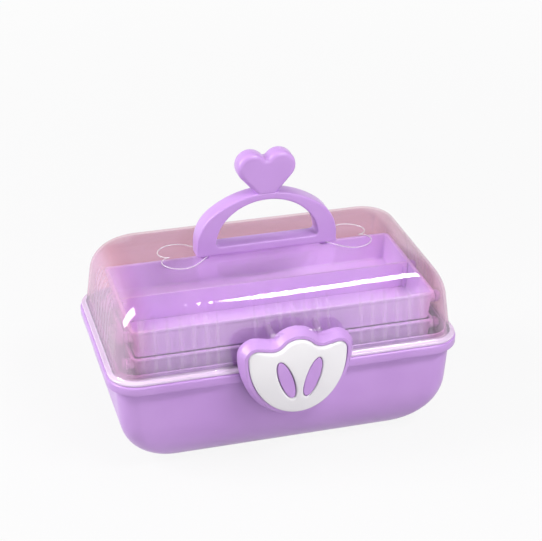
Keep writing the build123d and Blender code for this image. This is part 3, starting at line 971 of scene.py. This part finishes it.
@dataclass
class Handle:
    """Arched grip with a straight bar at its foot and a plump heart on its crown."""

    finishes: Finishes
    base: float = 144.0
    width: float = 108.5
    rise: float = 46.4
    thickness: float = 15.0
    crown_radius: float = 69.54
    side_radius: float = 31.593
    bar: float = 6.8
    grip: Pair = (39.6, 34.2)
    grip_corner: float = 2.5
    grip_corner_mid: Pair = (0.7, 0.3)
    edge: float = 1.2
    heart_lobe: float = 11.4
    heart_spread: float = 21.6
    heart_top: float = 77.6
    heart_tip: float = 36.8
    heart_thickness: float = 15.0
    heart_edge: float = 3.4
    heart_cleft: float = 2.4
    heart_sink: float = 43.7
    spacing: float = 1.0
    arch_points: int = 30
    grip_points: int = 50
    lobe_points: int = 60
    cleft_points: int = 8

    def arch(self) -> Points:
        """Outer outline of the grip: upright sides, round shoulders and a shallow crown.

        Returns:
            Points of the outline.
        """
        side_x, crown_z = self.width / 2 - self.side_radius, self.rise - self.crown_radius
        side_z = crown_z + sqrt((self.crown_radius - self.side_radius) ** 2 - side_x**2)
        lean = atan2(side_z - crown_z, side_x)
        shoulder = arc((side_x, side_z), self.side_radius, 0, lean, self.arch_points)
        crown = arc((0, crown_z), self.crown_radius, lean, QUARTER, self.arch_points)
        return mirrored(np.vstack([[(self.width / 2, 0.0)], shoulder, crown]))

    def grip_hole(self) -> Points:
        """Outline of the finger opening: a half ellipse on the bar with small corners.

        Returns:
            Points of the outline.
        """
        bar, corner, foot = self.bar, self.grip_corner, self.grip[0] - self.grip_corner
        over, up = self.grip_corner_mid
        half = arc((0, bar), self.grip, asin(corner / self.grip[1]), QUARTER, self.grip_points)
        return mirrored(np.vstack([[(foot, bar), (foot + corner * over, bar + corner * up)], half]))

    def heart(self) -> Points:
        """Outline of the heart: two round lobes, a rounded cleft and straight flanks that end in the crown.

        Returns:
            Points of the outline.
        """
        lobe_x, lobe_z = self.heart_spread / 2, self.heart_top - self.heart_lobe
        drop = lobe_z - self.heart_tip
        flank = atan2(drop, lobe_x) - asin(self.heart_lobe / hypot(lobe_x, drop))
        apart = self.heart_lobe + self.heart_cleft
        lean = acos(lobe_x / apart)
        start, end, cleft_z = flank - QUARTER, pi - lean, lobe_z + apart * sin(lean)
        lobe = arc((lobe_x, lobe_z), self.heart_lobe, start, end, self.lobe_points)
        cleft = arc((0, cleft_z), self.heart_cleft, -lean, -QUARTER, self.cleft_points)[1:-1]
        foot = (self.heart_sink - self.heart_tip) / tan(flank)
        return mirrored(np.vstack([[(foot, self.heart_sink)], lobe, cleft]))

    def build_part(
        self, name: str, outlines: Sequence[Points], thickness: float, edge: float
    ) -> bpy.types.Object:
        """Builds a part between two flat faces with rounded edges.

        Args:
            name: name of the piece.
            outlines: its outline and those of its holes.
            thickness: size from front to back.
            edge: radius of the rounded edges.

        Returns:
            The new object.
        """
        outer, *holes = (even(loop, self.spacing) + (0, self.base) for loop in outlines)

        def back(points: Points, way: Points) -> Points:
            """Flat face with a rounded edge, which the front mirrors."""
            return thickness / 2 - rounded_edge(way, edge)

        shape = Shape()
        shape.pillow(outer, holes, lambda *at: -back(*at), back, edge)
        return shape.make(name, self.finishes.lilac, Body.LID, Slot.LILAC)

    def build(self) -> None:
        """Builds the heart and the grip, in place of the CAD handle."""
        self.build_part("handle_heart", [self.heart()], self.heart_thickness, self.heart_edge)
        piece = self.build_part("handle_grip", [self.arch(), self.grip_hole()], self.thickness, self.edge)
        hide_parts("handle")


@dataclass
class ClaspOutline:
    """Three-lobed outline: half an ellipse below the waist, a lobe at each side and a higher one between."""

    width: float = 86.4
    bottom: float = 46.3
    top: float = 117.6
    waist: float = 99.1
    side_lobe: float = 12.5
    middle_lobe: float = 21.0
    slope: float = 11.6
    dip_round: float = 5.0
    spacing: float = 0.9
    lobe_points: int = 40
    bowl_points: int = 120

    def drawn(self, inset: float = 0.0) -> Points:
        """Points of the outline, drawn in by an inset.

        Args:
            inset: distance that the outline moves inward.

        Returns:
            The closed outline, anticlockwise seen from the front.
        """
        lobe_r, middle_r, dip_r = self.side_lobe - inset, self.middle_lobe - inset, self.dip_round + inset
        lobe = np.array([self.width / 2 - self.side_lobe, self.waist])
        middle = np.array([0, self.top - self.middle_lobe])
        slope = radians(self.slope)
        normal = np.array([-sin(slope), cos(slope)])
        run = np.array([-cos(slope), -sin(slope)])
        start = lobe + (lobe_r + dip_r) * normal - middle
        along = start @ run
        way = -along - sqrt(along**2 - start @ start + (middle_r + dip_r) ** 2)
        dip = middle + start + way * run
        rise = atan2(dip[1] - middle[1], dip[0] - middle[0])
        lobes = (
            (lobe, lobe_r, 0, QUARTER + slope),
            (dip, dip_r, slope - QUARTER, rise - pi),
            (middle, middle_r, rise, QUARTER),
        )
        right = np.vstack([arc(*part, self.lobe_points) for part in lobes])
        half = (self.width / 2 - inset, self.waist - self.bottom - inset)
        bowl = arc((0, self.waist), half, pi, WHOLE, self.bowl_points)[1:-1]
        return even(np.vstack([right, right[-2::-1] * (-1, 1), bowl]), self.spacing)


@dataclass
class Clasp:
    """Front clasp: lilac shell with steep sides and a narrow border, white domed plate, two slanted ovals."""

    finishes: Finishes
    outline: ClaspOutline = field(default_factory=ClaspOutline)
    back: float = -80.0
    side_foot: float = -84.6
    front: float = -90.5
    wall: float = 2.2
    wall_draw: float = 0.2
    block_height: float = 9.0
    side_lean: float = 3.2
    border: float = 6.0
    seat: float = 1.4
    seat_draw: float = 0.12
    seam: float = 0.5
    proud: float = 6.0
    dome_radius: float = 139.0
    plate_edge: float = 1.5
    plate_gap: float = 0.02
    oval: Pair = (5.5, 16.4)
    oval_x: float = 9.9
    oval_z: float = 81.2
    oval_tilt: float = 18.5
    oval_recess: float = 1.6
    oval_edge: float = 0.8
    oval_root: float = 0.2
    oval_points: int = 64

    def ovals(self, grow: float) -> list[Points]:
        """Outlines of the two ovals, which lean apart at the top.

        Args:
            grow: distance that the outlines are let out.

        Returns:
            The left and the right outline.
        """
        upright = circle((0, 0), np.add(self.oval, grow), self.oval_points)
        found = []
        for side in SIDES:
            lean = radians(-side * self.oval_tilt)
            leant = upright @ [(cos(lean), sin(lean)), (-sin(lean), cos(lean))]
            found.append(leant + (side * self.oval_x, self.oval_z))
        return found

    def build_shell(self) -> None:
        """Builds the shell with plate seat, hollow back, pin block and ovals, in place of the CAD body."""
        seat_rim, floor = self.border - self.seam, self.front + self.seat
        block, mid_draw = self.outline.top - self.block_height, self.wall_draw / 2

        def front(points: Points, way: Points) -> Points:
            """Leaning side, flat border and the drop into the seat of the plate."""
            lean = np.clip(1 - way / self.side_lean, 0, 1) * (self.side_foot - self.front)
            return np.where(way > seat_rim + self.seat_draw / 2, floor, self.front + lean)

        def back(points: Points, way: Points) -> Points:
            """Open back with a hollow inside the wall, up to the block that the pin runs through."""
            hollow = (way > self.wall + mid_draw) & (points[:, 1] < block - mid_draw)
            return np.where(hollow, floor + self.wall, self.back)

        insets = (self.side_lean, seat_rim, seat_rim + self.seat_draw)
        creases = [self.outline.drawn(inset) for inset in insets]
        for step in (0, self.wall_draw):
            loop = self.outline.drawn(self.wall + step)
            loop[:, 1] = np.minimum(loop[:, 1], block - step)
            creases.append(loop)
        shape = Shape()
        shape.pillow(self.outline.drawn(), [], front, back, self.side_lean, creases)
        face, root, edge = self.front - self.proud + self.oval_recess, floor + self.oval_root, self.oval_edge
        for loop in self.ovals(-self.seam):
            shape.pillow(loop, [], lambda _, way: face + rounded_edge(way, edge), lambda *_: root, edge)
        piece = shape.make("clasp_shell", self.finishes.lilac, Body.CLASP, Slot.LILAC)
        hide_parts("clasp_body")

    def build_plate(self) -> None:
        """Builds the plate, domed and rounded at its rim and windows, in place of the CAD face plate."""
        dome, middle = self.dome_radius, self.front - self.proud + self.dome_radius

        def front(points: Points, way: Points) -> Points:
            """Domed face: the middle stands highest and the rim is round."""
            spread = points[:, 0] ** 2 + (points[:, 1] - self.oval_z) ** 2
            return middle - np.sqrt(dome**2 - spread) + rounded_edge(way, self.plate_edge)

        shape, back = Shape(), self.front + self.seat - self.plate_gap
        shape.pillow(self.outline.drawn(self.border), self.ovals(0), front, lambda *_: back, self.plate_edge)
        piece = shape.make("clasp_plate", self.finishes.white, Body.CLASP, Slot.WHITE)
        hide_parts("clasp_face_plate")


@dataclass
class Tray:
    """Open lilac tray with drafted walls, a bead round its mouth, pivot bosses and divider guides."""

    finishes: Finishes
    name: str
    body: Body
    floor: float
    bosses: tuple[float, ...]
    guides: bool
    half: Pair = (115.0, 53.0)
    middle: float = -6.5
    height: float = 22.2
    wall: float = 1.6
    draft: float = 2.0
    corner: float = 3.5
    least_corner: float = 0.8
    foot_round: float = 0.5
    foot_steps: int = 4
    foot_drop: float = 0.4
    floor_round: float = 2.0
    floor_steps: int = 5
    bead: float = 1.2
    bead_height: float = 2.4
    bead_edge: float = 0.3
    bead_round: Pair = (0.7, 0.2)
    mouth_edge: float = 0.6
    boss_radius: float = 4.2
    boss_run: Pair = (113.6, 117.6)
    boss_rise: float = 15.2
    guide_width: float = 2.0
    guide_reach: float = 2.2
    guide_root: float = 1.0
    guide_stand: float = 2.1
    plan: RingPlan = RingPlan(40, 24, 8)

    def ring(self, out: float, level: float) -> Points:
        """One ring, let out from the outer face at the mouth.

        Args:
            out: distance beyond the outer face.
            level: height above the tray's floor.

        Returns:
            Points of the ring.
        """
        drawn = out - self.draft * (1 - level / self.height)
        corner, middle = max(self.corner + out, self.least_corner), (0, self.middle)
        return rounded_ring(np.add(self.half, drawn), corner, self.floor + level, self.plan, middle)

    def rings(self) -> list[Points]:
        """Rings from the foot, up the outside, over the bead and down to the floor.

        Returns:
            Rings in the order that the skin runs.
        """
        top, under, bead, edge = self.height, self.height - self.bead_height, self.bead, self.bead_edge
        foot, soft, inner, mouth = self.foot_round, self.floor_round, -self.wall, self.mouth_edge
        far, near = self.bead_round
        steps: list[Pair] = []
        for turn in quarter_turns(self.foot_steps):
            steps.append((-foot * (1 - sin(turn)), foot * (1 - cos(turn)) - self.foot_drop))
        steps += [(0.0, under), (bead - edge, under), (bead, under + edge)]
        steps += [(bead, top - far), (bead - near, top - near), (bead - far, top)]
        steps += [(inner + mouth, top), (inner, top - mouth)]
        for turn in quarter_turns(self.floor_steps):
            steps.append((inner - soft * (1 - cos(turn)), self.wall + soft * (1 - sin(turn))))
        return [self.ring(out, level) for out, level in steps]

    def build(self) -> None:
        """Builds the tray, in place of the CAD tray."""
        shape = Shape()
        shape.loft(self.rings())
        root, face = self.boss_run
        for side in SIDES:
            for y in self.bosses:
                shape.rod(self.boss_radius, side * root, side * face, (y, self.floor + self.boss_rise))
            if self.guides:
                self.add_guides(shape, side)
        piece = shape.make(f"{self.name}_shell", self.finishes.brightened_tray_lilac, self.body, Slot.LILAC)
        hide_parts(self.name)

    def add_guides(self, shape: Shape, side: int) -> None:
        """Adds the two ribs that hold the divider at one end.

        Args:
            shape: takes the faces.
            side: -1 for the left end and 1 for the right one.
        """
        inner = self.half[0] - self.draft - self.wall
        low, high = self.floor + self.wall, self.floor + self.height - self.bead_height
        for flank in SIDES:
            near, far = (self.middle + flank * self.guide_stand + rib * self.guide_width / 2 for rib in SIDES)
            outline = np.array([(near, low), (far, low), (far, high), (near, high)])
            shape.prism(outline, side * (inner - self.guide_reach), side * (inner + self.guide_root))


@dataclass
class CarriedParts:
    """CAD nodes that show as they are: arms, pins, divider, tongue, screws."""

    finishes: Finishes
    steel: str = "lid_hinge_pins"
    clear: str = "clasp_pin"
    thin: str = "upper_tray_divider"

    def dress(self) -> None:
        """Gives each shown CAD node its finish."""
        looks = self.finishes
        # The divider wears the tray plastic, whose colour is painted lighter
        special = {self.steel: looks.steel, self.clear: looks.clear, self.thin: looks.brightened_tray_lilac}
        for name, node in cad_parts.items():
            if node.hide_render:
                continue
            material = special.get(name, looks.lilac)
            node.data.materials.clear()
            node.data.materials.append(material)
            LOG.info("%s: dressed in %s", name, material.name)


@dataclass
class Lamp:
    """One soft studio lamp, which glossy surfaces mirror or not. Distances in metres."""

    name: str
    place: Triple
    size: Pair
    watts: float
    mirrored: bool = True
    aim: Triple = (0.0, 0.0, 0.09)

    def light(self) -> None:
        """Hangs the lamp."""
        data = bpy.data.lights.new(self.name, "AREA")
        data.shape = "RECTANGLE"
        data.size, data.size_y = self.size
        data.energy = self.watts
        lamp = bpy.data.objects.new(self.name, data)
        lamp.location = self.place
        lamp.rotation_euler = (Vector(self.aim) - Vector(self.place)).to_track_quat("-Z", "Y").to_euler()
        lamp.visible_camera = False
        lamp.visible_glossy = self.mirrored
        bpy.context.scene.collection.objects.link(lamp)


@dataclass
class Studio:
    """Pale floor, white surround, soft lamps and the camera at the photograph's angle, in metres."""

    frame_pixels: tuple[int, int] = (542, 541)
    focal_pixels: float = 1519.555
    sensor_mm: float = 36.0
    target: Triple = (0.0, 0.0, 0.075)
    target_pixel: Pair = (264.848, 324.910)
    azimuth: float = -15.5446
    elevation: float = 29.2677
    distance: float = 1.182815
    surround: float = 0.25
    ceiling: float = 0.12
    ceiling_degrees: Pair = (12.0, 27.0)
    paper: FloorPaper = FloorPaper("pale_floor_paper", "#bcbabe")
    floor_half: float = 6.0
    clear_skins: int = 24
    lamps: tuple[Lamp, ...] = (
        Lamp("strip_softbox", (0.465, -0.69, 1.1), (0.53, 0.18), 9.5),
        Lamp("left_softbox", (-1.3, 0.15, 0.95), (0.6, 1.0), 24.0),
        Lamp("overhead_softbox", (0.1, 0.1, 1.6), (1.0, 0.8), 4.0, mirrored=False),
        Lamp("fill_softbox", (0.3, -1.15, 0.6), (0.8, 0.5), 4.8, mirrored=False),
    )

    def set_world(self) -> None:
        """Makes the surround: to the eye a white sweep under a dimmer ceiling, and an even soft light."""
        world = bpy.data.worlds.new("white_surround")
        bpy.context.scene.world = world
        world.use_nodes = True
        tree = world.node_tree
        tree.nodes.clear()
        node = partial(add_node, tree)
        height = node("SeparateXYZ", {"Vector": node("TexCoord").outputs["Generated"]}).outputs["Z"]
        low, high = (sin(radians(turn)) for turn in self.ceiling_degrees)
        dimmer = {"From Min": low, "From Max": high, "To Min": 1.0, "To Max": self.ceiling}
        sweep = node("MapRange", {**dimmer, "Value": height})
        strength = node("MapRange", {"Value": plain_rays(node), "To Min": self.surround, "To Max": sweep})
        glow = node("Background", {"Color": linear(WHITE), "Strength": strength})
        node("OutputWorld", {"is_active_output": True, "Surface": glow})

    def lay_floor(self) -> None:
        """Lays the floor paper."""
        half = self.floor_half
        mesh = bpy.data.meshes.new("floor")
        corners = [(-half, -half, 0), (half, -half, 0), (half, half, 0), (-half, half, 0)]
        mesh.from_pydata(corners, [], [(0, 1, 2, 3)])
        mesh.materials.append(self.paper.make())
        floor = bpy.data.objects.new("floor", mesh)
        bpy.context.scene.collection.objects.link(floor)

    def set_camera(self) -> None:
        """Sets the camera at the photograph's angle, framed like the photograph."""
        data = bpy.data.cameras.new("photo_camera")
        wide, tall = self.frame_pixels
        data.sensor_width = self.sensor_mm
        data.lens = self.focal_pixels * self.sensor_mm / wide
        data.shift_x = (wide / 2 - self.target_pixel[0]) / wide
        data.shift_y = (self.target_pixel[1] - tall / 2) / wide
        turn, rise = radians(self.azimuth), radians(self.elevation)
        away = Vector((sin(turn) * cos(rise), -cos(turn) * cos(rise), sin(rise)))
        camera = bpy.data.objects.new("photo_camera", data)
        camera.location = Vector(self.target) + away * self.distance
        camera.rotation_euler = (-away).to_track_quat("-Z", "Y").to_euler()
        bpy.context.scene.collection.objects.link(camera)
        bpy.context.scene.camera = camera

    def build(self) -> None:
        """Sets up the surround, floor, lamps and camera."""
        self.set_world()
        self.lay_floor()
        for lamp in self.lamps:
            lamp.light()
        self.set_camera()
        bpy.context.scene.view_settings.view_transform = "Standard"
        # Lid, flange and the far wall stack up more clear skins than the default lets light through
        bpy.context.scene.cycles.transparent_max_bounces = self.clear_skins


def main() -> None:
    """Builds every piece of the box, dresses it and sets up the studio."""
    logging.basicConfig(level=logging.INFO)
    finishes = Finishes()
    for piece in (Tub, Lid, Handle):
        piece(finishes).build()
    clasp = Clasp(finishes)
    clasp.build_shell()
    clasp.build_plate()
    own_pivots, upper_arm_pivots = (-52.5, -0.5), (-12.5, 39.5)
    pivots = own_pivots + upper_arm_pivots
    Tray(finishes, "lower_tray", Body.LOWER_TRAY, floor=73.1, bosses=pivots, guides=False).build()
    Tray(finishes, "upper_tray", Body.UPPER_TRAY, floor=95.8, bosses=own_pivots, guides=True).build()
    CarriedParts(finishes).dress()
    Studio().build()


if __name__ == "__main__":
    main()
